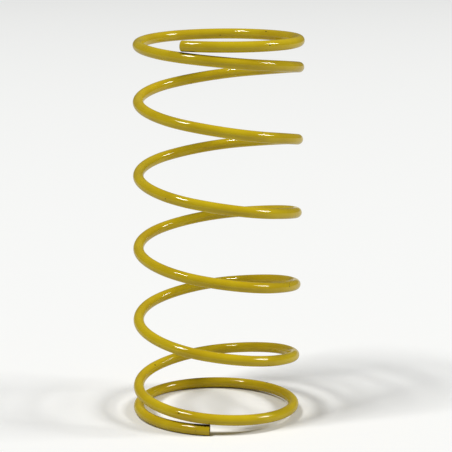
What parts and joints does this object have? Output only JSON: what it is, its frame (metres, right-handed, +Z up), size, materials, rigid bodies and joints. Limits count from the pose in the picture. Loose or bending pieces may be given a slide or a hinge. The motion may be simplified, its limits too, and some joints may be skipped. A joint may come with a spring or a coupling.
{
  "type": "helical compression spring",
  "caption": "Left-hand wound helical compression spring in round painted bar, with flat end coils closed on square-cut tips.",
  "frame": {"origin": "centre of the coil's axis in the plane that the lower end coil stands on", "axes": "+Z up along the coil's axis, the lower tip towards -Y"},
  "size_m": [0.16, 0.16, 0.3651],
  "materials": {
    "yellow_coat": "glossy yellow enamel"
  },
  "bodies": {
    "lower_end_coil": {"lower_tip": "yellow_coat", "lower_seat_a": "yellow_coat", "lower_seat_b": "yellow_coat", "lower_seat_c": "yellow_coat", "lower_seat_d": "yellow_coat", "lower_rise": "yellow_coat"},
    "stretch_01": {"coil_1a": "yellow_coat", "coil_1b": "yellow_coat"},
    "stretch_02": {"coil_1c": "yellow_coat", "coil_1d": "yellow_coat"},
    "stretch_03": {"coil_1e": "yellow_coat", "coil_1f": "yellow_coat"},
    "stretch_04": {"coil_2a": "yellow_coat", "coil_2b": "yellow_coat"},
    "stretch_05": {"coil_2c": "yellow_coat", "coil_2d": "yellow_coat"},
    "stretch_06": {"coil_2e": "yellow_coat", "coil_2f": "yellow_coat"},
    "stretch_07": {"coil_3a": "yellow_coat", "coil_3b": "yellow_coat"},
    "stretch_08": {"coil_3c": "yellow_coat", "coil_3d": "yellow_coat"},
    "stretch_09": {"coil_3e": "yellow_coat", "coil_3f": "yellow_coat"},
    "stretch_10": {"coil_4a": "yellow_coat", "coil_4b": "yellow_coat"},
    "stretch_11": {"coil_4c": "yellow_coat", "coil_4d": "yellow_coat"},
    "stretch_12": {"coil_4e": "yellow_coat", "coil_4f": "yellow_coat"},
    "stretch_13": {"coil_5a": "yellow_coat", "coil_5b": "yellow_coat"},
    "stretch_14": {"coil_5c": "yellow_coat", "coil_5d": "yellow_coat"},
    "stretch_15": {"coil_5e": "yellow_coat", "coil_5f": "yellow_coat"},
    "upper_end_coil": {"upper_rise": "yellow_coat", "upper_seat_a": "yellow_coat", "upper_seat_b": "yellow_coat", "upper_seat_c": "yellow_coat", "upper_seat_d": "yellow_coat", "upper_tip": "yellow_coat"}
  },
  "joints": [
    {"name": "twist_01", "type": "hinge", "parent": "lower_end_coil", "child": "stretch_01", "pos_m": [-0.0052, -0.07483, 0.01551], "axis": [-0.9042, -0.427, 0], "range_deg": [-1, 5.4], "stiffness_Nm_per_rad": 1418},
    {"name": "twist_02", "type": "hinge", "parent": "stretch_01", "child": "stretch_02", "pos_m": [-0.06114, 0.04345, 0.03092], "axis": [0.4809, 0.8765, 0.0227], "range_deg": [-1, 10.8], "stiffness_Nm_per_rad": 639},
    {"name": "twist_03", "type": "hinge", "parent": "stretch_02", "child": "stretch_03", "pos_m": [0.06896, 0.02945, 0.05269], "axis": [0.4166, -0.9086, 0.0302], "range_deg": [-1, 13.4], "stiffness_Nm_per_rad": 507},
    {"name": "compression", "type": "hinge", "parent": "stretch_03", "child": "stretch_04", "pos_m": [-0.01087, -0.07421, 0.07631], "axis": [-0.989, 0.1446, 0.0317], "range_deg": [0, 12.95], "stiffness_Nm_per_rad": 484},
    {"name": "twist_05", "type": "hinge", "parent": "stretch_04", "child": "stretch_05", "pos_m": [-0.05767, 0.04797, 0.09992], "axis": [0.6393, 0.7683, 0.0317], "range_deg": [-1, 13.9], "stiffness_Nm_per_rad": 484},
    {"name": "twist_06", "type": "hinge", "parent": "stretch_05", "child": "stretch_06", "pos_m": [0.07098, 0.02417, 0.12354], "axis": [0.3221, -0.9462, 0.0317], "range_deg": [-1, 13.9], "stiffness_Nm_per_rad": 484},
    {"name": "twist_07", "type": "hinge", "parent": "stretch_06", "child": "stretch_07", "pos_m": [-0.01643, -0.07318, 0.14715], "axis": [-0.9753, 0.2187, 0.0317], "range_deg": [-1, 13.9], "stiffness_Nm_per_rad": 484},
    {"name": "twist_08", "type": "hinge", "parent": "stretch_07", "child": "stretch_08", "pos_m": [-0.05389, 0.05218, 0.17076], "axis": [0.6953, 0.718, 0.0317], "range_deg": [-1, 13.9], "stiffness_Nm_per_rad": 484},
    {"name": "twist_09", "type": "hinge", "parent": "stretch_08", "child": "stretch_09", "pos_m": [0.0726, 0.01876, 0.19437], "axis": [0.2499, -0.9677, 0.0317], "range_deg": [-1, 13.9], "stiffness_Nm_per_rad": 484},
    {"name": "twist_10", "type": "hinge", "parent": "stretch_09", "child": "stretch_10", "pos_m": [-0.02189, -0.07173, 0.21799], "axis": [-0.956, 0.2916, 0.0317], "range_deg": [-1, 13.9], "stiffness_Nm_per_rad": 484},
    {"name": "twist_11", "type": "hinge", "parent": "stretch_10", "child": "stretch_11", "pos_m": [-0.04981, 0.05609, 0.2416], "axis": [0.7474, 0.6636, 0.0317], "range_deg": [-1, 13.9], "stiffness_Nm_per_rad": 484},
    {"name": "twist_12", "type": "hinge", "parent": "stretch_11", "child": "stretch_12", "pos_m": [0.07381, 0.01323, 0.26521], "axis": [0.1763, -0.9838, 0.0317], "range_deg": [-1, 13.9], "stiffness_Nm_per_rad": 484},
    {"name": "twist_13", "type": "hinge", "parent": "stretch_12", "child": "stretch_13", "pos_m": [-0.02723, -0.06988, 0.28883], "axis": [-0.9313, 0.3627, 0.0317], "range_deg": [-1, 13.9], "stiffness_Nm_per_rad": 484},
    {"name": "twist_14", "type": "hinge", "parent": "stretch_13", "child": "stretch_14", "pos_m": [-0.04544, 0.05968, 0.31244], "axis": [0.811, 0.5842, 0.0302], "range_deg": [-1, 13.4], "stiffness_Nm_per_rad": 507},
    {"name": "twist_15", "type": "hinge", "parent": "stretch_14", "child": "stretch_15", "pos_m": [0.07459, 0.00759, 0.33422], "axis": [-0.0148, -0.9996, 0.0227], "range_deg": [-1, 10.8], "stiffness_Nm_per_rad": 639},
    {"name": "twist_16", "type": "hinge", "parent": "stretch_15", "child": "upper_end_coil", "pos_m": [-0.03247, -0.06763, 0.34962], "axis": [-0.5753, 0.8179, 0], "range_deg": [-1, 5.4], "stiffness_Nm_per_rad": 1418}
  ],
  "couplings": [
    {"joint": "twist_01", "follows": "compression", "ratio": 0.34156},
    {"joint": "twist_02", "follows": "compression", "ratio": 0.75817},
    {"joint": "twist_03", "follows": "compression", "ratio": 0.95544},
    {"joint": "twist_05", "follows": "compression", "ratio": 1},
    {"joint": "twist_06", "follows": "compression", "ratio": 1},
    {"joint": "twist_07", "follows": "compression", "ratio": 1},
    {"joint": "twist_08", "follows": "compression", "ratio": 1},
    {"joint": "twist_09", "follows": "compression", "ratio": 1},
    {"joint": "twist_10", "follows": "compression", "ratio": 1},
    {"joint": "twist_11", "follows": "compression", "ratio": 1},
    {"joint": "twist_12", "follows": "compression", "ratio": 1},
    {"joint": "twist_13", "follows": "compression", "ratio": 1},
    {"joint": "twist_14", "follows": "compression", "ratio": 0.95544},
    {"joint": "twist_15", "follows": "compression", "ratio": 0.75817},
    {"joint": "twist_16", "follows": "compression", "ratio": 0.34156}
  ]
}
